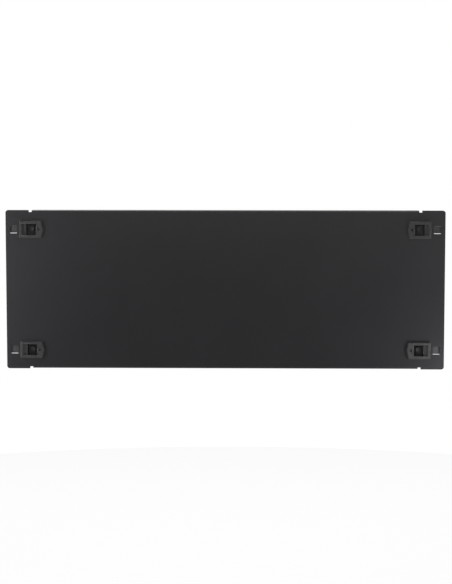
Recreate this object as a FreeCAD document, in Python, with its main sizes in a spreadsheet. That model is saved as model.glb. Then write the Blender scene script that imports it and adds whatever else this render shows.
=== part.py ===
import FreeCAD, Part
import Sketcher
import math
import os

# Rack blanking panel, four units high: one folded sheet with a sprung slide latch in each corner.
# X runs along the width, +Y to the rear and +Z up. The origin is the middle of the plane in which
# the panel's seats meet the front of the rack's rails.

SIZES = {
    # rack grid and sheet
    "unit_height": (44.45, "height of one rack unit"),
    "unit_count": (4, "rack units that the panel covers"),
    "height_clearance": (2.2, "panel height less than the full units"),
    "panel_width": (482.6, "width over the ears"),
    "edge_to_holes": (8.75, "side edge to the column of rail holes"),
    "sheet_thickness": (1.2, "steel sheet"),
    "bend_radius": (0.6, "inner radius of the folded edges"),
    "flange_depth": (10.0, "folded edge, front face to rim"),
    "flange_inset": (0.4, "folded edge below the edge of the ears"),
    "flange_corner": (2.5, "cut corner at the ends of the folded edges"),
    "ear_length": (25.6, "side edge to the relief slot"),
    "relief_width": (3.2, "relief slot between ear and folded edge"),
    "ear_corner": (3.0, "rounded corner of the ears"),
    "window_width": (7.6, "opening in the ear in front of the hook"),
    "window_height": (8.7, "height of that opening"),
    "window_drop": (0.15, "middle of that opening below the middle of the latch"),
    "window_corner": (0.5, "its corner radius"),
    # rail
    "rail_hole": (9.5, "square hole in the rail"),
    "rail_thickness": (2.0, "sheet of the rail"),
    "rail_clear_edge": (8.6, "hole centre to the inner edge of the rail, with clearance"),
    # latch, measured inwards from the centre of the rail hole
    "travel": (3.0, "stroke of the latch"),
    "running_gap": (0.1, "clearance between sliding faces"),
    "side_gap": (0.2, "clearance beside sliding pieces"),
    "neck_play": (0.3, "rail hole to the outer side of the hook's neck, latch closed"),
    "slot_play": (0.6, "outer end of the hook's slot to the neck, latch closed"),
    "bar_play": (0.2, "bar in front of the rail's face"),
    "pocket_centre": (19.45, "hole centre to the middle of the finger pocket"),
    "pocket_length": (10.6, "finger pocket along the stroke"),
    "pocket_height": (11.8, "finger pocket across the stroke"),
    "pocket_depth": (11.0, "finger pocket below the knob's face"),
    "pocket_bevel": (0.6, "bevel round the pocket's mouth"),
    "tub_wall": (1.4, "wall of the pocket"),
    "knob_height": (19.0, "knob across the stroke"),
    "knob_proud": (3.0, "knob's face in front of the sheet"),
    "knob_tail": (7.9, "pocket to the knob's square end"),
    "knob_shoulder": (6.1, "pocket to the knob's shoulders"),
    "knob_point": (2.2, "shoulders to the knob's point"),
    "knob_bevel": (1.1, "bevel round the knob's face"),
    "knob_corner": (0.3, "rounded corners of the knob's face, inside the bevel"),
    "knob_rim": (1.2, "rim that slides on the sheet"),
    "knob_hollow": (1.1, "hollow under the knob inside the rim"),
    "scoop_length": (5.2, "finger scoop ahead of the pocket"),
    "scoop_depth": (2.5, "scoop where it meets the pocket"),
    "scoop_radius": (8.3, "arc of the scoop"),
    "arrow_gap": (2.0, "pocket to the arrow's base"),
    "arrow_length": (3.1, "sunk arrow along the stroke"),
    "arrow_height": (4.4, "sunk arrow across the stroke"),
    "arrow_depth": (0.6, "depth of the arrow"),
    "boss_diameter": (5.6, "screw boss on the pocket's floor"),
    "boss_height": (4.0, "boss above that floor"),
    "pilot_diameter": (2.7, "hole in the boss"),
    "pilot_end_wall": (0.8, "plastic left above the hole"),
    # guide
    "seat_thickness": (2.0, "guide between ear and rail"),
    "pad_height": (0.3, "seat pads above the guide plate"),
    "pad_inset": (0.8, "seat pads inside the plate's edges"),
    "guide_height": (22.0, "guide plate across the stroke"),
    "guide_overhang": (6.55, "hole centre to the guide's outer end"),
    "guide_corner": (1.5, "rounded corners of the guide plate"),
    "slot_height": (10.4, "slot for the hook in the guide plate"),
    "collar_wall": (1.0, "collar round the tub, in the sheet's cut-out"),
    "rib_width": (1.5, "ribs beside the slide"),
    "rib_depth": (4.0, "ribs behind the guide plate"),
    "trough_wall": (1.4, "walls beside the spring"),
    # slide
    "frame_border": (1.7, "slide's frame round the tub"),
    "frame_thickness": (1.7, "slide's frame plate"),
    "bridge_thickness": (1.6, "bridge behind the tub"),
    "bridge_length": (12.4, "bridge along the stroke"),
    "bar_height": (8.0, "bar and hook across the stroke"),
    "neck_length": (5.8, "hook's neck in the rail hole"),
    "neck_wall": (1.2, "walls of the neck, hollow from behind"),
    "grip": (0.3, "play between rail and hook"),
    "hook_reach": (2.9, "hook behind the rail"),
    "hook_nose": (1.3, "straight end of the hook"),
    "hook_depth": (3.7, "hook behind the rail, front to rear"),
    "pusher_width": (5.2, "wall that takes the spring"),
    "pusher_thickness": (1.6, "thickness of that wall"),
    "peg_diameter": (3.2, "pegs inside the spring"),
    "peg_length": (2.5, "length of the pegs"),
    # spring
    "wire_diameter": (0.5, "spring wire"),
    "spring_diameter": (5.0, "spring over the wire"),
    "spring_length": (12.0, "spring as fitted, latch closed"),
    "spring_lift": (1.8, "guide plate to the spring"),
    "spring_turns": (6.5, "turns"),
    "closed_turns": (0.75, "closed turns at each end of the spring"),
    "pieces_per_turn": (12, "straight pieces in one turn of the coil"),
    # screw
    "screw_diameter": (2.6, "screw shank"),
    "screw_length": (6.0, "screw under the head"),
    "screw_hole": (3.2, "hole in the slide's bridge"),
    "head_diameter": (5.2, "screw head"),
    "head_height": (1.8, "screw head"),
    "head_bevel": (0.8, "bevelled rim of the screw head"),
    "recess_width": (0.9, "cross recess"),
    "recess_span": (3.0, "cross recess, end to end"),
    "recess_depth": (1.0, "cross recess"),
}

CORNERS = {
    # name: (side, level), side -1 left and +1 right, level +1 upper and -1 lower
    "latch_top_left": (-1, 1),
    "latch_bottom_left": (-1, -1),
    "latch_top_right": (1, 1),
    "latch_bottom_right": (1, -1),
}

document = FreeCAD.newDocument("RackBlankingPanel")
sheet = document.addObject("Spreadsheet::Sheet", "Sizes")
for row, (alias, (value, note)) in enumerate(SIZES.items(), start=1):
    sheet.set(f"A{row}", alias)
    sheet.set(f"B{row}", str(value))
    sheet.set(f"C{row}", note)
    sheet.setAlias(f"B{row}", alias)
document.recompute()


def expand(text):
    """Turns size names into references to the sheet."""
    words = []
    word = ""
    for letter in text + " ":
        if letter.isalnum() or letter == "_":
            word += letter
            continue
        words.append(f"Sizes.{word}" if word in SIZES else word)
        words.append(letter)
        word = ""
    return "".join(words).strip()


def measure(text):
    return float(sheet.evalExpression(expand(text)))


# Planes across the depth, from the rear face of the seats at 0.
SHEET_REAR = "(-seat_thickness)"
SHEET_FRONT = "(-seat_thickness - sheet_thickness)"
KNOB_BASE = f"({SHEET_FRONT} - running_gap / 2)"
KNOB_FACE = f"({SHEET_FRONT} - knob_proud)"
POCKET_FLOOR = f"({KNOB_FACE} + pocket_depth)"
TUB_REAR = f"({POCKET_FLOOR} + tub_wall)"
PLATE_REAR = "(-1 * pad_height)"
FRAME_FRONT = f"({PLATE_REAR} + running_gap)"
FRAME_REAR = f"({FRAME_FRONT} + frame_thickness)"
BRIDGE_REAR = f"({TUB_REAR} + bridge_thickness)"
BAR_FRONT = f"({SHEET_REAR} + running_gap)"
BAR_REAR = "(-1 * bar_play)"
HOOK_FRONT = "(rail_thickness + grip)"
HOOK_REAR = f"({HOOK_FRONT} + hook_depth)"
SPRING_AXIS = f"({PLATE_REAR} + spring_lift + spring_diameter / 2)"

# Places along the stroke, from the centre of the rail hole at 0, with the latch closed.
POCKET_OUTER = "(pocket_centre - pocket_length / 2)"
POCKET_INNER = "(pocket_centre + pocket_length / 2)"
TUB_OUTER = f"({POCKET_OUTER} - tub_wall)"
TUB_INNER = f"({POCKET_INNER} + tub_wall)"
TUB_TOP = "(pocket_height / 2 + tub_wall)"
WAY_OUTER = f"({TUB_OUTER} - side_gap)"
WAY_INNER = f"({TUB_INNER} + travel + side_gap)"
WAY_TOP = f"({TUB_TOP} + side_gap)"
FRAME_OUTER = f"({TUB_OUTER} - running_gap - frame_border)"
FRAME_INNER = f"({TUB_INNER} + running_gap + frame_border)"
FRAME_TOP = f"({TUB_TOP} + running_gap + frame_border)"
KNOB_END = f"({POCKET_OUTER} - knob_tail)"
KNOB_SHOULDER = f"({POCKET_INNER} + knob_shoulder)"
NECK_OUTER = "(neck_play - rail_hole / 2)"
NECK_INNER = f"({NECK_OUTER} + neck_length)"
HOOK_TIP = f"({NECK_OUTER} - hook_reach)"
SLOT_OUTER = f"({NECK_OUTER} - slot_play)"
SPRING_START = f"({FRAME_INNER} + pusher_thickness)"
SPRING_END = f"({SPRING_START} + spring_length)"
TROUGH_START = f"({FRAME_INNER} + travel + side_gap)"
TROUGH_INSIDE = "(pusher_width / 2 + side_gap)"
GUIDE_INNER = f"({SPRING_END} + trough_wall)"

PANEL_TOP = "((unit_height * unit_count - height_clearance) / 2)"
LATCH_LEVEL = "(unit_height * (unit_count - 1) / 2)"
HOLE_COLUMN = "(panel_width / 2 - edge_to_holes)"

# Places closer than this count as the same when an edge is looked for.
TOLERANCE = 0.01


def new_body(name):
    body = document.addObject("PartDesign::Body", name)
    body.Label = name
    return body


def new_sketch(body, name, plane, offset):
    """A sketch on one of the body's origin planes, moved along that plane's normal."""
    sketch = body.newObject("Sketcher::SketchObject", f"{body.Name}_{name}")
    support = next(item for item in body.Origin.OriginFeatures if item.Role == plane)
    sketch.AttachmentSupport = [(support, "")]
    sketch.MapMode = "FlatFace"
    sketch.setExpression("AttachmentOffset.Base.z", expand(offset))
    return sketch


def pin_point(sketch, geometry, end, place):
    """Holds one point of a line, arc or circle at a place worked out from the sheet."""
    for kind, text in zip(("DistanceX", "DistanceY"), place):
        constraint = Sketcher.Constraint(kind, -1, 1, geometry, end, measure(text))
        index = sketch.addConstraint(constraint)
        sketch.setExpression(f"Constraints[{index}]", expand(text))


def draw_outline(sketch, places):
    """A closed outline of straight lines through the given places."""
    first = sketch.GeometryCount
    points = [FreeCAD.Vector(measure(x), measure(y), 0) for x, y in places]
    count = len(points)
    for number in range(count):
        line = Part.LineSegment(points[number], points[(number + 1) % count])
        sketch.addGeometry(line, False)
    for number in range(count):
        following = first + (number + 1) % count
        sketch.addConstraint(Sketcher.Constraint("Coincident", first + number, 2, following, 1))
        pin_point(sketch, first + number, 1, places[number])


def draw_rectangle(sketch, left, right, bottom, top):
    draw_outline(sketch, [(left, bottom), (right, bottom), (right, top), (left, top)])


def draw_circle(sketch, centre, diameter):
    middle = FreeCAD.Vector(measure(centre[0]), measure(centre[1]), 0)
    circle = Part.Circle(middle, FreeCAD.Vector(0, 0, 1), measure(diameter) / 2)
    geometry = sketch.addGeometry(circle, False)
    pin_point(sketch, geometry, 3, centre)
    index = sketch.addConstraint(Sketcher.Constraint("Diameter", geometry, measure(diameter)))
    sketch.setExpression(f"Constraints[{index}]", expand(diameter))


def mirrored(text):
    return f"(-1 * {text})"


def span(text):
    """The two sides of something centred on the axis."""
    return mirrored(text), text


def extrude(body, name, kind, sketch, length, symmetric=False):
    feature = body.newObject(f"PartDesign::{kind}", f"{body.Name}_{name}")
    feature.Profile = sketch
    feature.Type = "Length"
    feature.setExpression("Length", expand(length))
    if symmetric:
        feature.SideType = "Symmetric"
    sketch.Visibility = False
    document.recompute()
    return feature


def pad_depth(body, name, draw, front, rear):
    """Material between two planes across the depth: the front plane and the rear plane."""
    sketch = new_sketch(body, f"{name}_sketch", "XZ_Plane", mirrored(rear))
    draw(sketch)
    return extrude(body, name, "Pad", sketch, f"{rear} - {front}")


def cut_depth(body, name, draw, front, rear):
    """A cut between two planes across the depth."""
    sketch = new_sketch(body, f"{name}_sketch", "XZ_Plane", mirrored(front))
    draw(sketch)
    return extrude(body, name, "Pocket", sketch, f"{rear} - {front}")


def pad_level(body, name, draw, height):
    """Material drawn from above and given its height about the middle."""
    sketch = new_sketch(body, f"{name}_sketch", "XY_Plane", "0")
    draw(sketch)
    return extrude(body, name, "Pad", sketch, height, symmetric=True)


def cut_level(body, name, draw, height):
    sketch = new_sketch(body, f"{name}_sketch", "XY_Plane", "0")
    draw(sketch)
    return extrude(body, name, "Pocket", sketch, height, symmetric=True)


def pick_edges(feature, wanted):
    """Names of the edges for which wanted(start, end) is true."""
    names = []
    for number, edge in enumerate(feature.Shape.Edges, start=1):
        start = edge.Vertexes[0].Point
        end = edge.Vertexes[-1].Point
        if wanted(start, end):
            names.append(f"Edge{number}")
    return names


def dress(body, name, kind, feature, wanted, size):
    """A fillet or chamfer on the edges of the last feature that are wanted."""
    edges = pick_edges(feature, wanted)
    dressing = body.newObject(f"PartDesign::{kind}", f"{body.Name}_{name}")
    dressing.Base = (feature, edges)
    dressing.setExpression("Radius" if kind == "Fillet" else "Size", expand(size))
    document.recompute()
    return dressing


def near(first, second):
    return abs(first - second) < TOLERANCE


def runs_rearwards(start, end):
    """True for an edge along the depth."""
    return near(start.x, end.x) and near(start.z, end.z) and not near(start.y, end.y)


# ---------------------------------------------------------------- panel

def window_sides(side, level):
    """The opening in one ear, in front of the hook."""
    column = f"({side} * {HOLE_COLUMN})"
    row = f"({level} * {LATCH_LEVEL} - window_drop)"
    return (f"{column} - window_width / 2", f"{column} + window_width / 2",
            f"{row} - window_height / 2", f"{row} + window_height / 2")


def cutout_sides(side, level):
    """The cut-out in the sheet that the guide's collar sits in."""
    outer = f"({WAY_OUTER} - collar_wall - running_gap)"
    inner = f"({WAY_INNER} + collar_wall + running_gap)"
    half = f"({WAY_TOP} + collar_wall + running_gap)"
    row = f"({level} * {LATCH_LEVEL})"
    column = f"({side} * {HOLE_COLUMN})"
    ends = [f"{column} - {side} * {outer}", f"{column} - {side} * {inner}"]
    ends.sort(key=measure)
    return (*ends, f"{row} - {half}", f"{row} + {half}")


def make_panel():
    body = new_body("panel")
    outer_radius = "(bend_radius + sheet_thickness)"
    flange_top = f"({PANEL_TOP} - flange_inset)"
    bend_line = f"({flange_top} - {outer_radius})"
    ear_end = "(panel_width / 2 - ear_length)"
    flange_end = f"({ear_end} - relief_width)"

    def draw_face(sketch):
        upper_right = [("panel_width / 2", PANEL_TOP), (ear_end, PANEL_TOP),
                       (ear_end, bend_line), (flange_end, bend_line)]
        upper_left = [(mirrored(x), z) for x, z in reversed(upper_right)]
        lower_left = [(mirrored(x), mirrored(z)) for x, z in upper_right]
        lower_right = [(x, mirrored(z)) for x, z in reversed(upper_right)]
        tops = [upper_right[:3], upper_left[1:], lower_left[:3], lower_right[1:]]
        draw_outline(sketch, [place for corner in tops for place in corner])

    face = pad_depth(body, "face", draw_face, SHEET_FRONT, SHEET_REAR)

    def draw_fold(sketch, sign):
        """Section of one folded edge with square corners."""
        rim = f"({SHEET_FRONT} + flange_depth)"
        inner = f"({flange_top} - sheet_thickness)"
        places = [(SHEET_FRONT, bend_line), (SHEET_FRONT, flange_top), (rim, flange_top),
                  (rim, inner), (SHEET_REAR, inner), (SHEET_REAR, bend_line)]
        draw_outline(sketch, [(y, f"({sign} * {z})") for y, z in places])

    for name, sign in (("upper", 1), ("lower", -1)):
        sketch = new_sketch(body, f"{name}_fold_sketch", "YZ_Plane", "0")
        draw_fold(sketch, sign)
        fold = extrude(body, f"{name}_fold", "Pad", sketch, f"2 * {flange_end}", symmetric=True)
    for name, depth, inset, radius in (
            ("outer_bends", SHEET_FRONT, "0", outer_radius),
            ("inner_bends", SHEET_REAR, "sheet_thickness", "bend_radius")):
        bend = (measure(depth), measure(f"{flange_top} - {inset}"))
        fold = dress(body, name, "Fillet", fold,
                     lambda start, end: near(start.y, bend[0]) and near(end.y, bend[0])
                     and near(abs(start.z), bend[1]) and near(start.z, end.z), radius)

    rim = measure(f"{SHEET_FRONT} + flange_depth")
    corners = dress(body, "flange_corners", "Chamfer", fold,
                    lambda start, end: near(start.y, rim) and near(end.y, rim)
                    and not near(start.z, end.z), "flange_corner")
    half_width = measure("panel_width / 2")
    ears = dress(body, "ear_corners", "Fillet", corners,
                 lambda start, end: runs_rearwards(start, end)
                 and near(abs(start.x), half_width), "ear_corner")

    def draw_openings(sketch):
        for side, level in CORNERS.values():
            draw_rectangle(sketch, *window_sides(side, level))
            draw_rectangle(sketch, *cutout_sides(side, level))

    openings = cut_depth(body, "openings", draw_openings, SHEET_FRONT, SHEET_REAR)
    window_span = measure(f"{HOLE_COLUMN} - window_width")
    dress(body, "window_corners", "Fillet", openings,
          lambda start, end: runs_rearwards(start, end)
          and abs(start.x) > window_span and not near(abs(start.x), half_width)
          and abs(start.z) < measure(LATCH_LEVEL) + measure("window_height"), "window_corner")
    return [body]


# ---------------------------------------------------------------- latch

def make_knob(name):
    """The front moulding: a five-sided face with a finger pocket that reaches through the sheet."""
    body = new_body(f"{name}_knob")
    half = "(knob_height / 2)"

    def draw_face(sketch, end=KNOB_END, inset="0"):
        draw_outline(sketch, [
            (end, f"-1 * ({half} - {inset})"),
            (f"{KNOB_SHOULDER} - {inset} / 2", f"-1 * ({half} - {inset})"),
            (f"{KNOB_SHOULDER} + knob_point - {inset}", "0"),
            (f"{KNOB_SHOULDER} - {inset} / 2", f"{half} - {inset}"),
            (end, f"{half} - {inset}")])

    face = pad_depth(body, "face", draw_face, KNOB_FACE, KNOB_BASE)
    rounded = dress(body, "corners", "Fillet", face, runs_rearwards, "(knob_bevel + knob_corner)")
    front = measure(KNOB_FACE)
    dress(body, "bevel", "Chamfer", rounded,
          lambda start, end: near(start.y, front) and near(end.y, front), "knob_bevel")
    hollow_top = f"({KNOB_BASE} - knob_hollow)"
    cut_depth(body, "hollow", lambda sketch: draw_face(sketch, TUB_OUTER, "knob_rim"),
              hollow_top, KNOB_BASE)
    pad_depth(body, "tub", lambda sketch: draw_rectangle(sketch, TUB_OUTER, TUB_INNER, *span(TUB_TOP)),
              hollow_top, TUB_REAR)
    pocket = cut_depth(
        body, "pocket", lambda sketch: draw_rectangle(
            sketch, POCKET_OUTER, POCKET_INNER, *span("(pocket_height / 2)")),
        KNOB_FACE, POCKET_FLOOR)
    inner = measure(POCKET_INNER)
    reach = measure("pocket_height / 2")
    dress(body, "pocket_bevel", "Chamfer", pocket,
          lambda start, end: near(start.y, front) and near(end.y, front)
          and max(abs(start.z), abs(end.z)) < reach + TOLERANCE
          and near(max(start.x, end.x), inner), "pocket_bevel")

    def draw_scoop(sketch):
        """A shallow hollow that deepens towards the pocket along an arc."""
        start = (f"({POCKET_OUTER} - scoop_length)", KNOB_FACE)
        deepest = (f"({POCKET_OUTER} + tub_wall / 2)", f"({KNOB_FACE} + scoop_depth)")
        above = (deepest[0], f"({KNOB_FACE} - knob_proud)")
        corner = (start[0], above[1])
        points = [FreeCAD.Vector(measure(x), measure(y), 0) for x, y in (start, deepest, above, corner)]
        chord = points[1] - points[0]
        sag = chord.Length ** 2 / (8 * measure("scoop_radius"))
        across = FreeCAD.Vector(-chord.y, chord.x, 0).normalize()
        middle = (points[0] + points[1]) * 0.5 + across * sag
        arc = sketch.addGeometry(Part.Arc(points[0], middle, points[1]), False)
        ends = (1, 2) if (sketch.getPoint(arc, 1) - points[0]).Length < TOLERANCE else (2, 1)
        places = (deepest, above, corner)
        for number in range(3):
            last = points[(number + 2) % 4]
            sketch.addGeometry(Part.LineSegment(points[number + 1], last), False)
            pin_point(sketch, arc + number + 1, 1, places[number])
        pin_point(sketch, arc, ends[0], start)
        for first, first_end, second, second_end in ((0, ends[1], 1, 1), (1, 2, 2, 1), (2, 2, 3, 1),
                                                     (3, 2, 0, ends[0])):
            sketch.addConstraint(Sketcher.Constraint(
                "Coincident", arc + first, first_end, arc + second, second_end))
        index = sketch.addConstraint(Sketcher.Constraint("Radius", arc, measure("scoop_radius")))
        sketch.setExpression(f"Constraints[{index}]", expand("scoop_radius"))

    cut_level(body, "scoop", draw_scoop, "pocket_height")
    arrow_base = f"({POCKET_INNER} + arrow_gap)"

    def draw_arrow(sketch):
        draw_outline(sketch, [(arrow_base, "-1 * arrow_height / 2"),
                              (f"{arrow_base} + arrow_length", "0"),
                              (arrow_base, "arrow_height / 2")])

    cut_depth(body, "arrow", draw_arrow, KNOB_FACE, f"({KNOB_FACE} + arrow_depth)")
    middle = ("pocket_centre", "0")
    pad_depth(body, "boss", lambda sketch: draw_circle(sketch, middle, "boss_diameter"),
              f"({POCKET_FLOOR} - boss_height)", f"({TUB_REAR} - tub_wall / 2)")
    cut_depth(body, "pilot", lambda sketch: draw_circle(sketch, middle, "pilot_diameter"),
              f"({POCKET_FLOOR} - boss_height + pilot_end_wall)", TUB_REAR)
    return body


def make_slide(name):
    """The rear moulding: bar and hook, a frame round the tub, a bridge behind it, a spring wall."""
    body = new_body(f"{name}_slide")
    jog_start = "(rail_clear_edge)"
    jog_end = f"({FRAME_OUTER} + frame_border)"

    def draw_hook(sketch):
        draw_outline(sketch, [
            (NECK_OUTER, BAR_FRONT), (jog_end, BAR_FRONT), (jog_end, FRAME_REAR),
            (jog_start, FRAME_REAR), (jog_start, BAR_REAR), (NECK_INNER, BAR_REAR),
            (NECK_INNER, HOOK_REAR), (NECK_OUTER, HOOK_REAR),
            (HOOK_TIP, f"{HOOK_FRONT} + hook_nose"), (HOOK_TIP, HOOK_FRONT),
            (NECK_OUTER, HOOK_FRONT)])

    pad_level(body, "hook", draw_hook, "bar_height")
    pad_depth(body, "frame", lambda sketch: draw_rectangle(
        sketch, FRAME_OUTER, FRAME_INNER, *span(FRAME_TOP)), FRAME_FRONT, FRAME_REAR)
    bridge = ("(pocket_centre - bridge_length / 2)", "(pocket_centre + bridge_length / 2)")
    pad_depth(body, "bridge", lambda sketch: draw_rectangle(sketch, *bridge, *span(FRAME_TOP)),
              FRAME_FRONT, BRIDGE_REAR)
    tub = (f"({TUB_OUTER} - running_gap)", f"({TUB_INNER} + running_gap)",
           *span(f"({TUB_TOP} + running_gap)"))
    cut_depth(body, "tub_room", lambda sketch: draw_rectangle(sketch, *tub), BAR_FRONT, TUB_REAR)
    peg = ("0", SPRING_AXIS)
    pusher_rear = f"({SPRING_AXIS} + pusher_width / 2)"
    pad_depth(body, "pusher", lambda sketch: draw_rectangle(
        sketch, f"({FRAME_INNER} - frame_border)", SPRING_START, *span("(pusher_width / 2)")),
        FRAME_FRONT, pusher_rear)
    pad_peg(body, SPRING_START, f"({SPRING_START} + peg_length)", peg)
    core = (f"({NECK_OUTER} + neck_wall)", f"({NECK_INNER} - neck_wall)",
            *span("(bar_height / 2 - neck_wall)"))
    cut_depth(body, "neck_core", lambda sketch: draw_rectangle(sketch, *core), BAR_REAR, HOOK_REAR)
    cut_depth(body, "screw_hole", lambda sketch: draw_circle(
        sketch, ("pocket_centre", "0"), "screw_hole"), TUB_REAR, BRIDGE_REAR)
    return body


def pad_peg(body, start, end, centre):
    """A round peg along the stroke, between two places."""
    sketch = new_sketch(body, "peg_sketch", "YZ_Plane", start)
    draw_circle(sketch, (centre[1], centre[0]), "peg_diameter")
    return extrude(body, "peg", "Pad", sketch, f"{end} - {start}")


def make_guide(name):
    """The fixed moulding: seats behind the ear, collar in the sheet, ribs and spring trough."""
    body = new_body(f"{name}_guide")
    plate_top = "(guide_height / 2)"
    plate = pad_depth(body, "plate", lambda sketch: draw_rectangle(
        sketch, "(-1 * guide_overhang)", GUIDE_INNER, *span(plate_top)), SHEET_REAR, PLATE_REAR)
    dress(body, "plate_corners", "Fillet", plate, runs_rearwards, "guide_corner")

    def draw_seats(sketch):
        """The two pads beside the hook's slot, which meet the rail."""
        ends = ("(pad_inset - guide_overhang)", "(rail_clear_edge)")
        inside, outside = "(slot_height / 2)", f"({plate_top} - pad_inset)"
        draw_rectangle(sketch, *ends, inside, outside)
        draw_rectangle(sketch, *ends, mirrored(outside), mirrored(inside))

    pad_depth(body, "seats", draw_seats, PLATE_REAR, "0")
    collar = (f"({WAY_OUTER} - collar_wall)", f"({WAY_INNER} + collar_wall)",
              *span(f"({WAY_TOP} + collar_wall)"))
    pad_depth(body, "collar", lambda sketch: draw_rectangle(sketch, *collar), SHEET_FRONT, SHEET_REAR)

    def draw_ribs(sketch):
        inside = f"({FRAME_TOP} + side_gap)"
        outside = f"({inside} + rib_width)"
        ends = ("(rail_clear_edge + running_gap)", f"({FRAME_INNER} + travel)")
        draw_rectangle(sketch, *ends, inside, outside)
        draw_rectangle(sketch, *ends, mirrored(outside), mirrored(inside))

    pad_depth(body, "ribs", draw_ribs, SHEET_REAR, "rib_depth")
    trough_rear = f"({SPRING_AXIS} + pusher_width / 2)"
    outside = f"({TROUGH_INSIDE} + trough_wall)"
    pad_depth(body, "trough", lambda sketch: draw_rectangle(
        sketch, TROUGH_START, GUIDE_INNER, *span(outside)), SHEET_REAR, trough_rear)
    cut_depth(body, "spring_room", lambda sketch: draw_rectangle(
        sketch, TROUGH_START, SPRING_END, *span(TROUGH_INSIDE)), PLATE_REAR, trough_rear)
    pad_peg(body, f"({SPRING_END} - peg_length)", SPRING_END, ("0", SPRING_AXIS))

    def draw_way(sketch):
        """The way for the tub, joined to the slot for the bar and hook."""
        slot = "(slot_height / 2)"
        upper = [(SLOT_OUTER, slot), (WAY_OUTER, slot), (WAY_OUTER, WAY_TOP), (WAY_INNER, WAY_TOP)]
        lower = [(x, mirrored(z)) for x, z in reversed(upper)]
        draw_outline(sketch, upper + lower)

    cut_depth(body, "way", draw_way, SHEET_FRONT, "0")
    return body


def make_spring(name):
    """The return spring between the slide's wall and the end of the trough, with closed ends.

    Short straight pieces follow the coil, and the wire has six sides.
    """
    radius = "((spring_diameter - wire_diameter) / 2)"
    turns = measure("spring_turns")
    closed = measure("closed_turns")
    closed_pitch = measure("wire_diameter")
    height = measure("spring_length - wire_diameter")
    pitch = (height - 2 * closed * closed_pitch) / (turns - 2 * closed)
    pieces_per_turn = int(measure("pieces_per_turn"))
    points = []
    for number in range(int(turns * pieces_per_turn) + 1):
        turn = number / pieces_per_turn
        open_part = min(max(turn - closed, 0), turns - 2 * closed)
        angle = 2 * math.pi * turn
        points.append(FreeCAD.Vector(measure(radius) * math.cos(angle),
                                     measure(radius) * math.sin(angle),
                                     closed_pitch * (turn - open_part) + pitch * open_part))
    coil = document.addObject("Part::Feature", f"{name}_coil_line")
    coil.Shape = Part.makePolygon(points)
    wire = document.addObject("Part::RegularPolygon", f"{name}_wire_section")
    wire.Polygon = 6
    wire.setExpression("Circumradius", expand("wire_diameter / 2"))
    wire.setExpression("Placement.Base.x", expand(radius))
    wire.Placement.Rotation = FreeCAD.Rotation(FreeCAD.Vector(1, 0, 0), 90)
    spring = document.addObject("Part::Sweep", f"{name}_spring")
    spring.Label = f"{name}_spring"
    document.recompute()
    spring.Sections = [wire]
    spring.Spine = (coil, [])
    spring.Solid = True
    spring.Transition = "Right corner"
    return spring


def make_screw(name):
    """The thread-forming screw that holds knob and slide together."""
    body = new_body(f"{name}_screw")
    head_rear = f"({BRIDGE_REAR} + head_height)"
    tip = f"({BRIDGE_REAR} - screw_length)"
    pad_depth(body, "shank", lambda sketch: draw_circle(
        sketch, ("pocket_centre", "0"), "screw_diameter"), tip, BRIDGE_REAR)
    head = pad_depth(body, "head", lambda sketch: draw_circle(
        sketch, ("pocket_centre", "0"), "head_diameter"), BRIDGE_REAR, head_rear)
    rear = measure(head_rear)
    dress(body, "head_bevel", "Chamfer", head,
          lambda start, end: near(start.y, rear) and near(end.y, rear), "head_bevel")

    def draw_recess(sketch):
        half = "(recess_width / 2)"
        reach = "(recess_span / 2)"
        quarter = [(half, reach), (half, half), (reach, half)]
        turned = [(reach, mirrored(half)), (half, mirrored(half)), (half, mirrored(reach))]
        right = quarter + turned
        left = [(mirrored(x), mirrored(z)) for x, z in right]
        draw_outline(sketch, [(f"pocket_centre + {x}", z) for x, z in right + left])

    cut_depth(body, "recess", draw_recess, f"({head_rear} - recess_depth)", head_rear)
    return body


def place_latch(pieces, spring, side, level):
    """Moves one latch to its corner; the right-hand ones are turned half round."""
    turn = FreeCAD.Rotation(FreeCAD.Vector(0, 1, 0), 0 if side < 0 else 180)
    for piece in pieces:
        piece.Placement.Rotation = turn
    along = FreeCAD.Rotation(FreeCAD.Vector(0, 1, 0), 90 if side < 0 else -90)
    spring.Placement.Rotation = along
    column = f"{side} * {HOLE_COLUMN}"
    spring_start = f"({SPRING_START} + wire_diameter / 2)"
    for piece in (*pieces, spring):
        is_spring = piece is spring
        reach = f" - {side} * {spring_start}" if is_spring else ""
        piece.setExpression("Placement.Base.x", expand(column + reach))
        piece.setExpression("Placement.Base.y", expand(SPRING_AXIS if is_spring else "0"))
        piece.setExpression("Placement.Base.z", expand(f"{level} * {LATCH_LEVEL}"))


parts = make_panel()
for latch, (side, level) in CORNERS.items():
    pieces = [make_knob(latch), make_slide(latch), make_guide(latch), make_screw(latch)]
    spring = make_spring(latch)
    place_latch(pieces, spring, side, level)
    parts += pieces + [spring]
document.recompute()

for item in document.Objects:
    if "Invalid" in item.State or "Error" in item.State:
        raise RuntimeError(f"{item.Label} could not be built: {item.State}")
for part in parts:
    if part.Shape.isNull() or not part.Shape.isValid() or len(part.Shape.Solids) != 1:
        raise RuntimeError(f"{part.Label} is not one valid solid")

os.makedirs("parts", exist_ok=True)
for part in parts:
    part.Shape.exportStep(os.path.join("parts", f"{part.Label}.step"))
    print(f"{part.Label}: {part.Shape.Volume:.1f} mm3, {len(part.Shape.Faces)} faces")
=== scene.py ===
import math

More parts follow.
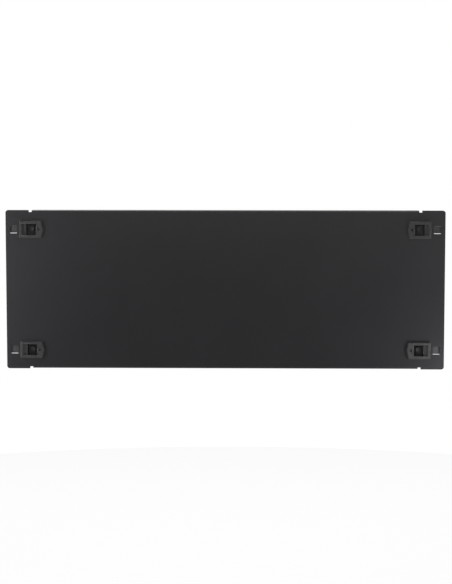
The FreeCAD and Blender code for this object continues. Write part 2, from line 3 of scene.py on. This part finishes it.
import bpy
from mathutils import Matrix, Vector


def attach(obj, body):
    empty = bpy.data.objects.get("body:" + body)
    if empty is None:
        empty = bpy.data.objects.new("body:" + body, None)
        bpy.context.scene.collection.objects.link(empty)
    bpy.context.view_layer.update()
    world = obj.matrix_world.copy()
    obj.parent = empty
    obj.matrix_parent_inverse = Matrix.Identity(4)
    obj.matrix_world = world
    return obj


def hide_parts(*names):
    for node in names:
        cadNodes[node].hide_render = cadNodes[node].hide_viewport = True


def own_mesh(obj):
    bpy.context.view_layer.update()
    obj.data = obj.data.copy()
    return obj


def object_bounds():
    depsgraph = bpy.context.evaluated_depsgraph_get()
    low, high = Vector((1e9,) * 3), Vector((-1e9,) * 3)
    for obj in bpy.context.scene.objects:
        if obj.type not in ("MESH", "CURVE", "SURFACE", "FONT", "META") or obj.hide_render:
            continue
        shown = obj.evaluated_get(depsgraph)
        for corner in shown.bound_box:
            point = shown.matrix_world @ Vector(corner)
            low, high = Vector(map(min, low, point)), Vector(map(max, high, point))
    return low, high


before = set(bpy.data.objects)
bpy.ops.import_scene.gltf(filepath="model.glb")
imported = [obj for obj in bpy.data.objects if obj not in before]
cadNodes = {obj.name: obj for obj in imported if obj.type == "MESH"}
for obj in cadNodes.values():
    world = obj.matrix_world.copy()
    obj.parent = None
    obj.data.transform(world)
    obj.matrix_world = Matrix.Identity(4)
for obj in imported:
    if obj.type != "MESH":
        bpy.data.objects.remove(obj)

# A black rack blanking panel with four sprung latches. X runs along the width, Y to the rear, Z up.

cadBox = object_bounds()
millimetre = 0.001
cornerNames = ("top_left", "bottom_left", "top_right", "bottom_right")
print("frame loaded:", len(cadNodes), "nodes")


# working with one object at a time

def deselectAll():
    active = bpy.context.view_layer.objects.active
    if active and active.mode != "OBJECT":
        bpy.ops.object.mode_set(mode="OBJECT")
    bpy.ops.object.select_all(action="DESELECT")


def makeActive(piece):
    deselectAll()
    piece.select_set(True)
    bpy.context.view_layer.objects.active = piece


def startEdit(piece):
    makeActive(piece)
    bpy.ops.object.mode_set(mode="EDIT")
    bpy.ops.mesh.select_all(action="SELECT")


def endEdit():
    bpy.ops.object.mode_set(mode="OBJECT")


def applyModifier(piece, kind, **settings):
    makeActive(piece)
    bpy.ops.object.modifier_add(type=kind)
    modifier = piece.modifiers[-1]
    for setting, value in settings.items():
        setattr(modifier, setting, value)
    bpy.ops.object.modifier_apply(modifier=modifier.name)


def smoothByAngle(piece, degrees):
    makeActive(piece)
    bpy.ops.object.shade_smooth_by_angle(angle=math.radians(degrees))


def finishPiece(piece, node, body, material):
    piece.data.materials.clear()
    piece.data.materials.append(material)
    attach(piece, body)
    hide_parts(node)


# materials

noiseLow, noiseHigh = 0.3, 0.7  # most of a noise pattern lies between these


def newMaterial(name):
    material = bpy.data.materials.new(name)
    material.use_nodes = True
    tree = material.node_tree
    tree.nodes.clear()
    output = tree.nodes.new("ShaderNodeOutputMaterial")
    shader = tree.nodes.new("ShaderNodeBsdfPrincipled")
    tree.links.new(shader.outputs["BSDF"], output.inputs["Surface"])
    coordinates = tree.nodes.new("ShaderNodeTexCoord").outputs["Object"]
    return material, tree, shader, coordinates


def addNoise(tree, place, scale, detail=2.0, stretch=(1.0, 1.0, 1.0)):
    mapping = tree.nodes.new("ShaderNodeMapping")
    mapping.inputs["Scale"].default_value = stretch
    tree.links.new(place, mapping.inputs["Vector"])
    noise = tree.nodes.new("ShaderNodeTexNoise")
    noise.inputs["Scale"].default_value = scale
    noise.inputs["Detail"].default_value = detail
    tree.links.new(mapping.outputs["Vector"], noise.inputs["Vector"])
    return noise.outputs["Fac"]


def addToneRange(tree, factor, darkTone, lightTone):
    ramp = tree.nodes.new("ShaderNodeValToRGB")
    ramp.color_ramp.elements[0].position = noiseLow
    ramp.color_ramp.elements[0].color = (*darkTone, 1.0)
    ramp.color_ramp.elements[1].position = noiseHigh
    ramp.color_ramp.elements[1].color = (*lightTone, 1.0)
    tree.links.new(factor, ramp.inputs["Fac"])
    return ramp.outputs["Color"]


def addRange(tree, factor, low, high):
    mapRange = tree.nodes.new("ShaderNodeMapRange")
    mapRange.inputs["From Min"].default_value = noiseLow
    mapRange.inputs["From Max"].default_value = noiseHigh
    mapRange.inputs["To Min"].default_value = low
    mapRange.inputs["To Max"].default_value = high
    tree.links.new(factor, mapRange.inputs["Value"])
    return mapRange.outputs["Result"]


def addBump(tree, height, strength, distance, under=None):
    bump = tree.nodes.new("ShaderNodeBump")
    bump.inputs["Strength"].default_value = strength
    bump.inputs["Distance"].default_value = distance
    tree.links.new(height, bump.inputs["Height"])
    if under:
        tree.links.new(under, bump.inputs["Normal"])
    return bump.outputs["Normal"]


powderCoat = {
    "darkTone": (0.0125, 0.0122, 0.0140),
    "lightTone": (0.0150, 0.0146, 0.0166),
    "shine": 0.27,
    "patchScale": 14.0,
    "smoothRoughness": 0.36,
    "dullRoughness": 0.42,
    "peelScale": 420.0,
    "peelHeight": 0.05 * millimetre,
    "peelStretch": (0.7, 1.0, 1.0),
    "grainScale": 2600.0,
    "grainHeight": 0.02 * millimetre,
    "rubScale": 650.0,
    "rubStretch": (0.4, 1.0, 1.0),
    "bumpStrength": 0.6,
}


def makePowderCoat():
    material, tree, shader, place = newMaterial("blackPowderCoat")
    patches = addNoise(tree, place, powderCoat["patchScale"], 4.0)
    colour = addToneRange(tree, patches, powderCoat["darkTone"], powderCoat["lightTone"])
    tree.links.new(colour, shader.inputs["Base Color"])
    shader.inputs["Specular IOR Level"].default_value = powderCoat["shine"]
    rub = addNoise(tree, place, powderCoat["rubScale"], 3.0, powderCoat["rubStretch"])
    roughness = addRange(tree, rub, powderCoat["smoothRoughness"], powderCoat["dullRoughness"])
    tree.links.new(roughness, shader.inputs["Roughness"])
    peel = addNoise(tree, place, powderCoat["peelScale"], 2.0, powderCoat["peelStretch"])
    grain = addNoise(tree, place, powderCoat["grainScale"], 3.0)
    strength = powderCoat["bumpStrength"]
    peelNormal = addBump(tree, peel, strength, powderCoat["peelHeight"])
    grainNormal = addBump(tree, grain, strength, powderCoat["grainHeight"], peelNormal)
    tree.links.new(grainNormal, shader.inputs["Normal"])
    return material


mouldedPlastic = {
    "darkTone": (0.027, 0.026, 0.0274),
    "lightTone": (0.033, 0.0318, 0.0335),
    "shine": 0.27,
    "flowScale": 90.0,
    "flowStretch": (0.5, 1.0, 1.0),
    "smoothRoughness": 0.46,
    "dullRoughness": 0.56,
    "sparkScale": 3800.0,
    "sparkHeight": 0.025 * millimetre,
    "bumpStrength": 0.5,
}
# painted shade for the floor of the sunk arrow: darker tones and less shine than the knob's face
arrowShadePlastic = {
    "darkTone": (0.0115, 0.0111, 0.0117),
    "lightTone": (0.0145, 0.0140, 0.0147),
    "shine": 0.12,
}


def makeMouldedPlastic(name, tones):
    material, tree, shader, place = newMaterial(name)
    grain = mouldedPlastic
    flow = addNoise(tree, place, grain["flowScale"], 3.0, grain["flowStretch"])
    colour = addToneRange(tree, flow, tones["darkTone"], tones["lightTone"])
    tree.links.new(colour, shader.inputs["Base Color"])
    shader.inputs["Specular IOR Level"].default_value = tones["shine"]
    spark = addNoise(tree, place, grain["sparkScale"], 2.0)
    roughness = addRange(tree, spark, grain["smoothRoughness"], grain["dullRoughness"])
    tree.links.new(roughness, shader.inputs["Roughness"])
    normal = addBump(tree, spark, grain["bumpStrength"], grain["sparkHeight"])
    tree.links.new(normal, shader.inputs["Normal"])
    return material


zincPlate = {
    "darkTone": (0.42, 0.43, 0.45),
    "lightTone": (0.60, 0.61, 0.62),
    "cloudScale": 700.0,
    "smoothRoughness": 0.28,
    "dullRoughness": 0.42,
    "scratchScale": 5000.0,
    "scratchHeight": 0.006 * millimetre,
    "scratchStretch": (0.2, 1.0, 1.0),
    "bumpStrength": 0.4,
}
springWire = {
    "darkTone": (0.36, 0.36, 0.37),
    "lightTone": (0.52, 0.52, 0.53),
    "cloudScale": 500.0,
    "smoothRoughness": 0.22,
    "dullRoughness": 0.34,
    "scratchScale": 4000.0,
    "scratchHeight": 0.004 * millimetre,
    "scratchStretch": (0.2, 1.0, 1.0),
    "bumpStrength": 0.4,
}


def makeSteel(name, finish):
    material, tree, shader, place = newMaterial(name)
    shader.inputs["Metallic"].default_value = 1.0
    cloud = addNoise(tree, place, finish["cloudScale"], 3.0)
    colour = addToneRange(tree, cloud, finish["darkTone"], finish["lightTone"])
    tree.links.new(colour, shader.inputs["Base Color"])
    scratches = addNoise(tree, place, finish["scratchScale"], 2.0, finish["scratchStretch"])
    roughness = addRange(tree, scratches, finish["smoothRoughness"], finish["dullRoughness"])
    tree.links.new(roughness, shader.inputs["Roughness"])
    normal = addBump(tree, scratches, finish["bumpStrength"], finish["scratchHeight"])
    tree.links.new(normal, shader.inputs["Normal"])
    return material


coatMaterial = makePowderCoat()
plasticMaterial = makeMouldedPlastic("blackMouldedPlastic", mouldedPlastic)
# the second plastic is painted shade for the sunk arrow's floor
arrowShadeMaterial = makeMouldedPlastic("arrowShadeMouldedPlastic", arrowShadePlastic)
screwMaterial = makeSteel("zincPlatedSteel", zincPlate)
springMaterial = makeSteel("springSteel", springWire)
print("materials made")


# pieces that keep the solids' shape and get small rounded edges

mergeDistance = 0.002 * millimetre


def joinedCopy(node, pieceName):
    piece = bpy.data.objects.new(pieceName, cadNodes[node].data.copy())
    bpy.context.scene.collection.objects.link(piece)
    startEdit(piece)
    bpy.ops.mesh.customdata_custom_splitnormals_clear()
    bpy.ops.mesh.remove_doubles(threshold=mergeDistance)
    endEdit()
    return piece


def roundEdges(piece, width, segments, sharpAngle):
    applyModifier(
        piece, "BEVEL", width=width, segments=segments, limit_method="ANGLE",
        angle_limit=math.radians(sharpAngle), use_clamp_overlap=True,
        harden_normals=True, miter_outer="MITER_ARC")


edgePlan = {
    "panel": {"width": 0.22 * millimetre, "segments": 3, "sharpAngle": 40.0},
    "knob": {"width": 0.14 * millimetre, "segments": 2, "sharpAngle": 25.0},
    "slide": {"width": 0.12 * millimetre, "segments": 2, "sharpAngle": 25.0},
    "guide": {"width": 0.12 * millimetre, "segments": 2, "sharpAngle": 25.0},
}


def makeRounded(node, pieceName, kind, body, material):
    piece = joinedCopy(node, pieceName)
    plan = edgePlan[kind]
    roundEdges(piece, plan["width"], plan["segments"], plan["sharpAngle"])
    finishPiece(piece, node, body, material)
    return piece


arrowPlan = {"floorDepth": -5.6 * millimetre, "play": 0.02 * millimetre, "facing": -0.99}


def shadeArrowFloor(piece):
    # painted shade: the floor of the sunk arrow gets a darker, less shiny plastic than the face
    # round it
    piece.data.materials.append(arrowShadeMaterial)
    for face in piece.data.polygons:
        atFloor = abs(face.center.y - arrowPlan["floorDepth"]) < arrowPlan["play"]
        if atFloor and face.normal.y < arrowPlan["facing"]:
            face.material_index = 1


makeRounded("panel", "foldedSheet", "panel", "panel_and_guides", coatMaterial)
print("sheet made")
for corner in cornerNames:
    latch = f"latch_{corner}"
    for kind in ("knob", "slide", "guide"):
        body = "panel_and_guides" if kind == "guide" else latch
        piece = makeRounded(
            f"{latch}_{kind}", f"{corner}_{kind}", kind, body, plasticMaterial)
        if kind == "knob":
            shadeArrowFloor(piece)
    print("latch mouldings made:", corner)


# springs and screws, modelled once and copied into the room that each solid takes

def nodeBox(node):
    piece = cadNodes[node]
    places = [piece.matrix_world @ Vector(place) for place in piece.bound_box]
    low = Vector(min(place[axis] for place in places) for axis in range(3))
    high = Vector(max(place[axis] for place in places) for axis in range(3))
    return low, high


def makeCoil(pieceName, radius, wire, places, corners):
    # a round wire bent through places given as turns and distances along Z
    curve = bpy.data.curves.new(pieceName, "CURVE")
    curve.dimensions = "3D"
    curve.bevel_depth = wire / 2
    curve.bevel_resolution = corners
    curve.use_fill_caps = True
    line = curve.splines.new("POLY")
    line.points.add(len(places) - 1)
    for point, (turn, along) in zip(line.points, places):
        angle = 2 * math.pi * turn
        point.co = (radius * math.cos(angle), radius * math.sin(angle), along, 1.0)
    coil = bpy.data.objects.new(pieceName, curve)
    bpy.context.scene.collection.objects.link(coil)
    makeActive(coil)
    bpy.ops.object.convert(target="MESH")
    return bpy.context.object


def settle(piece, place, turn):
    makeActive(piece)
    bpy.ops.object.transform_apply(location=True, rotation=True, scale=True)
    piece.location = place
    piece.rotation_euler = turn
    bpy.ops.object.transform_apply(location=True, rotation=True, scale=True)


def placeCopy(pattern, pieceName, place, turn):
    piece = pattern.copy()
    piece.data = pattern.data.copy()
    piece.name = pieceName
    piece.data.name = pieceName
    bpy.context.scene.collection.objects.link(piece)
    settle(piece, place, turn)
    return piece


springPlan = {
    "wire": 0.5 * millimetre,
    "turns": 6.5,
    "closedTurns": 0.75,
    "pointsPerTurn": 40,
    "wireCorners": 3,
    "smoothAngle": 40.0,
}


def makeSpring():
    low, high = nodeBox("latch_top_left_spring")
    wire = springPlan["wire"]
    turns, closed = springPlan["turns"], springPlan["closedTurns"]
    radius = (high.z - low.z - wire) / 2
    height = high.x - low.x - wire
    pitch = (height - 2 * closed * wire) / (turns - 2 * closed)
    places = []
    for number in range(int(turns * springPlan["pointsPerTurn"]) + 1):
        turn = number / springPlan["pointsPerTurn"]
        openTurns = min(max(turn - closed, 0.0), turns - 2 * closed)
        places.append((turn, wire * (turn - openTurns) + pitch * openTurns))
    spring = makeCoil("spring", radius, wire, places, springPlan["wireCorners"])
    smoothByAngle(spring, springPlan["smoothAngle"])
    return spring


def placeSpring(pattern, corner):
    node = f"latch_{corner}_spring"
    low, high = nodeBox(node)
    middle = (low + high) / 2
    start = (low.x + springPlan["wire"] / 2, middle.y, middle.z)
    spring = placeCopy(pattern, f"{corner}_spring", start, (0.0, math.radians(90.0), 0.0))
    finishPiece(spring, node, "panel_and_guides", springMaterial)
    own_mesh(spring)


screwPlan = {
    "core": 0.95 * millimetre,
    "coreSides": 32,
    "thread": 0.42 * millimetre,
    "crest": 1.29 * millimetre,
    "pitch": 1.0 * millimetre,
    "point": 1.2 * millimetre,
    "headHeight": 1.8 * millimetre,
    "headSides": 48,
    "headRound": 0.75 * millimetre,
    "headSegments": 6,
    "recessWidth": 0.8 * millimetre,
    "recessSpan": 3.0 * millimetre,
    "recessDepth": 1.0 * millimetre,
    "pointsPerTurn": 24,
    "smoothAngle": 35.0,
}


def makeScrewHead(radius, base):
    height = screwPlan["headHeight"]
    deselectAll()
    bpy.ops.mesh.primitive_cylinder_add(
        vertices=screwPlan["headSides"], radius=radius, depth=height,
        location=(0.0, 0.0, base + height / 2))
    head = bpy.context.object
    startEdit(head)
    bpy.ops.mesh.select_mode(type="FACE")
    bpy.ops.mesh.select_all(action="DESELECT")
    endEdit()
    for polygon in head.data.polygons:
        polygon.select = polygon.normal.z > 0.9  # the free end of the head
    bpy.ops.object.mode_set(mode="EDIT")
    bpy.ops.mesh.bevel(
        offset=screwPlan["headRound"], segments=screwPlan["headSegments"], affect="EDGES")
    endEdit()
    for turn in (0.0, 90.0):  # the two arms of the cross recess
        deselectAll()
        bpy.ops.mesh.primitive_cube_add(
            size=1.0, location=(0.0, 0.0, base + height), rotation=(0.0, 0.0, math.radians(turn)))
        cutter = bpy.context.object
        cutter.scale = (
            screwPlan["recessSpan"], screwPlan["recessWidth"], 2 * screwPlan["recessDepth"])
        applyModifier(head, "BOOLEAN", operation="DIFFERENCE", solver="EXACT", object=cutter)
        bpy.data.objects.remove(cutter)
    return head


def makeScrew():
    low, high = nodeBox("latch_top_left_screw")
    length = high.y - low.y - screwPlan["headHeight"]
    point = screwPlan["point"]
    head = makeScrewHead((high.x - low.x) / 2, length)
    deselectAll()
    bpy.ops.mesh.primitive_cylinder_add(
        vertices=screwPlan["coreSides"], radius=screwPlan["core"], depth=length - point,
        location=(0.0, 0.0, (length + point) / 2))
    core = bpy.context.object
    bpy.ops.mesh.primitive_cone_add(
        vertices=screwPlan["coreSides"], radius1=screwPlan["core"] / 3,
        radius2=screwPlan["core"], depth=point, location=(0.0, 0.0, point / 2))
    tip = bpy.context.object
    turns = (length - point) / screwPlan["pitch"]
    steps = int(turns * screwPlan["pointsPerTurn"])
    places = [(number / screwPlan["pointsPerTurn"],
               point / 2 + screwPlan["pitch"] * number / screwPlan["pointsPerTurn"])
              for number in range(steps + 1)]
    thread = makeCoil("thread", screwPlan["crest"] - screwPlan["thread"] / 2,
                      screwPlan["thread"], places, 0)
    deselectAll()
    for piece in (core, tip, thread, head):
        piece.select_set(True)
    bpy.context.view_layer.objects.active = head
    bpy.ops.object.join()
    head.name = "screw"
    smoothByAngle(head, screwPlan["smoothAngle"])
    return head


def placeScrew(pattern, corner):
    node = f"latch_{corner}_screw"
    low, high = nodeBox(node)
    middle = (low + high) / 2
    screw = placeCopy(pattern, f"{corner}_screw", (middle.x, low.y, middle.z),
                      (math.radians(-90.0), 0.0, 0.0))
    finishPiece(screw, node, f"latch_{corner}", screwMaterial)


springPattern = makeSpring()
screwPattern = makeScrew()
for corner in cornerNames:
    placeSpring(springPattern, corner)
    placeScrew(screwPattern, corner)
for pattern in (springPattern, screwPattern):
    bpy.data.objects.remove(pattern)
print("springs and screws made")


# floor, lamps and camera

floorPlan = {
    "drop": 0.30,
    "radius": 1.1,
    "sides": 96,
    "roughness": 0.9,
    "shine": 0.1,
    "darkTone": (0.88, 0.88, 0.88),
    "lightTone": (0.92, 0.92, 0.92),
    "paperScale": 60.0,
    "glowShare": 0.93,
}


def addBackgroundRays(tree):
    # one for the rays of the camera, of shiny surfaces and of clear ones
    lightPath = tree.nodes.new("ShaderNodeLightPath")
    total = lightPath.outputs["Is Camera Ray"]
    for kind in ("Is Glossy Ray", "Is Transmission Ray"):
        either = tree.nodes.new("ShaderNodeMath")
        either.operation = "MAXIMUM"
        tree.links.new(total, either.inputs[0])
        tree.links.new(lightPath.outputs[kind], either.inputs[1])
        total = either.outputs[0]
    return lightPath, total


def makeFloor():
    deselectAll()
    bpy.ops.mesh.primitive_circle_add(
        vertices=floorPlan["sides"], radius=floorPlan["radius"], fill_type="NGON",
        location=(0.0, 0.0, cadBox[0][2] - floorPlan["drop"]))
    floor = bpy.context.object
    floor.name = "paleFloor"
    material, tree, shader, place = newMaterial("palePaper")
    output = tree.nodes["Material Output"]
    shader.inputs["Roughness"].default_value = floorPlan["roughness"]
    shader.inputs["Specular IOR Level"].default_value = floorPlan["shine"]
    paper = addNoise(tree, place, floorPlan["paperScale"], 3.0)
    colour = addToneRange(tree, paper, floorPlan["darkTone"], floorPlan["lightTone"])
    tree.links.new(colour, shader.inputs["Base Color"])
    glow = tree.nodes.new("ShaderNodeEmission")
    seen = addBackgroundRays(tree)[1]
    share = tree.nodes.new("ShaderNodeMath")
    share.operation = "MULTIPLY"
    share.inputs[1].default_value = floorPlan["glowShare"]
    tree.links.new(seen, share.inputs[0])
    mix = tree.nodes.new("ShaderNodeMixShader")
    tree.links.new(share.outputs[0], mix.inputs["Fac"])
    tree.links.new(shader.outputs["BSDF"], mix.inputs[1])
    tree.links.new(glow.outputs["Emission"], mix.inputs[2])
    tree.links.new(mix.outputs["Shader"], output.inputs["Surface"])
    floor.data.materials.append(material)


makeFloor()


roomPlan = {
    "ambient": 0.05,
    "darkEnd": 0.05,
    "whiteEnd": 1.0,
    "darkUntil": -0.1,
    "whiteFrom": 0.3,
}


def addBackground(tree, strength=1.0):
    background = tree.nodes.new("ShaderNodeBackground")
    background.inputs["Color"].default_value = (1.0, 1.0, 1.0, 1.0)
    background.inputs["Strength"].default_value = strength
    return background


def makeWorld():
    # white behind the object and for the camera, a dim room in front of it,
    # and a faint even light on the object
    world = bpy.data.worlds.new("studio")
    bpy.context.scene.world = world
    world.use_nodes = True
    tree = world.node_tree
    tree.nodes.clear()
    output = tree.nodes.new("ShaderNodeOutputWorld")
    direction = tree.nodes.new("ShaderNodeTexCoord").outputs["Generated"]
    split = tree.nodes.new("ShaderNodeSeparateXYZ")
    tree.links.new(direction, split.inputs["Vector"])
    depth = tree.nodes.new("ShaderNodeMapRange")
    depth.inputs["From Min"].default_value = roomPlan["darkUntil"]
    depth.inputs["From Max"].default_value = roomPlan["whiteFrom"]
    depth.inputs["To Min"].default_value = roomPlan["darkEnd"]
    depth.inputs["To Max"].default_value = roomPlan["whiteEnd"]
    tree.links.new(split.outputs["Y"], depth.inputs["Value"])
    ambient = addBackground(tree, roomPlan["ambient"])
    around = addBackground(tree)
    tree.links.new(depth.outputs["Result"], around.inputs["Strength"])
    white = addBackground(tree)
    lightPath, seen = addBackgroundRays(tree)
    mirrored = tree.nodes.new("ShaderNodeMixShader")
    tree.links.new(seen, mirrored.inputs["Fac"])
    tree.links.new(ambient.outputs["Background"], mirrored.inputs[1])
    tree.links.new(around.outputs["Background"], mirrored.inputs[2])
    final = tree.nodes.new("ShaderNodeMixShader")
    tree.links.new(lightPath.outputs["Is Camera Ray"], final.inputs["Fac"])
    tree.links.new(mirrored.outputs["Shader"], final.inputs[1])
    tree.links.new(white.outputs["Background"], final.inputs[2])
    tree.links.new(final.outputs["Shader"], output.inputs["Surface"])


makeWorld()


# strips close to the edges, a softbox and two front lamps, and light from above and behind
lampPlan = {
    "leftStrip": {
        "place": (-0.32, -0.08, 0.0), "size": (0.05, 0.22),
        "aim": (-0.11, 0.0, 0.0), "power": 0.32},
    "rightStrip": {
        "place": (0.32, -0.08, 0.0), "size": (0.05, 0.22),
        "aim": (0.11, 0.0, 0.0), "power": 0.15},
    "lowRight": {
        "place": (0.3, -0.08, -0.13), "size": (0.06, 0.06),
        "aim": (0.1, 0.0, -0.03), "power": 0.28},
    "upperStrip": {
        "place": (0.0, -0.07, 0.17), "size": (0.5, 0.04),
        "aim": (0.0, 0.0, 0.03), "power": 0.1},
    "lowerStrip": {
        "place": (0.0, -0.07, -0.17), "size": (0.5, 0.04),
        "aim": (0.0, 0.0, -0.03), "power": 0.05},
    "leftSoftbox": {
        "place": (-0.48, -0.28, 0.0), "size": (0.25, 0.6),
        "aim": (-0.17, 0.0, 0.0), "power": 0.3},
    "frontLeft": {
        "place": (-0.3, -1.5, 0.33), "size": (0.3, 0.3),
        "aim": (-0.1, 0.0, 0.1), "power": 3.0},
    "frontRight": {
        "place": (0.3, -1.5, 0.33), "size": (0.3, 0.3),
        "aim": (0.1, 0.0, 0.1), "power": 3.6},
    "overhead": {
        "place": (0.0, 0.12, 0.6), "size": (0.9, 0.2),
        "aim": (0.0, 0.0, 0.05), "power": 3.0},
    "rearLeft": {
        "place": (-0.6, 0.8, 0.4), "size": (0.5, 0.5),
        "aim": (0.0, 0.0, 0.0), "power": 5.0},
    "rearRight": {
        "place": (0.6, 0.8, 0.4), "size": (0.5, 0.5),
        "aim": (0.0, 0.0, 0.0), "power": 5.0},
}


def makeLamp(name, plan):
    light = bpy.data.lights.new(name, "AREA")
    light.shape = "RECTANGLE"
    light.size, light.size_y = plan["size"]
    light.energy = plan["power"]
    lamp = bpy.data.objects.new(name, light)
    bpy.context.scene.collection.objects.link(lamp)
    lamp.location = plan["place"]
    aim = Vector(plan["aim"]) - Vector(plan["place"])
    lamp.rotation_euler = aim.to_track_quat("-Z", "Y").to_euler()


for name, plan in lampPlan.items():
    makeLamp(name, plan)


cameraPlan = {
    "azimuth": 1.16,
    "elevation": 6.49,
    "distance": 2.228,
    "lens": 124.8,
    "shiftX": 0.0016,
    "shiftY": -0.0035,
}


def makeCamera():
    azimuth = math.radians(cameraPlan["azimuth"])
    elevation = math.radians(cameraPlan["elevation"])
    back = Vector((math.sin(azimuth) * math.cos(elevation),
                   -math.cos(azimuth) * math.cos(elevation),
                   math.sin(elevation)))
    sheetFront = Vector((0.0, -3.2 * millimetre, 0.0))
    data = bpy.data.cameras.new("camera")
    data.lens = cameraPlan["lens"]
    data.shift_x = cameraPlan["shiftX"]
    data.shift_y = cameraPlan["shiftY"]
    camera = bpy.data.objects.new("camera", data)
    bpy.context.scene.collection.objects.link(camera)
    camera.location = sheetFront + back * cameraPlan["distance"]
    camera.rotation_euler = (-back).to_track_quat("-Z", "Y").to_euler()
    bpy.context.scene.camera = camera


makeCamera()
bpy.context.scene.view_settings.view_transform = "Standard"
print("studio made")
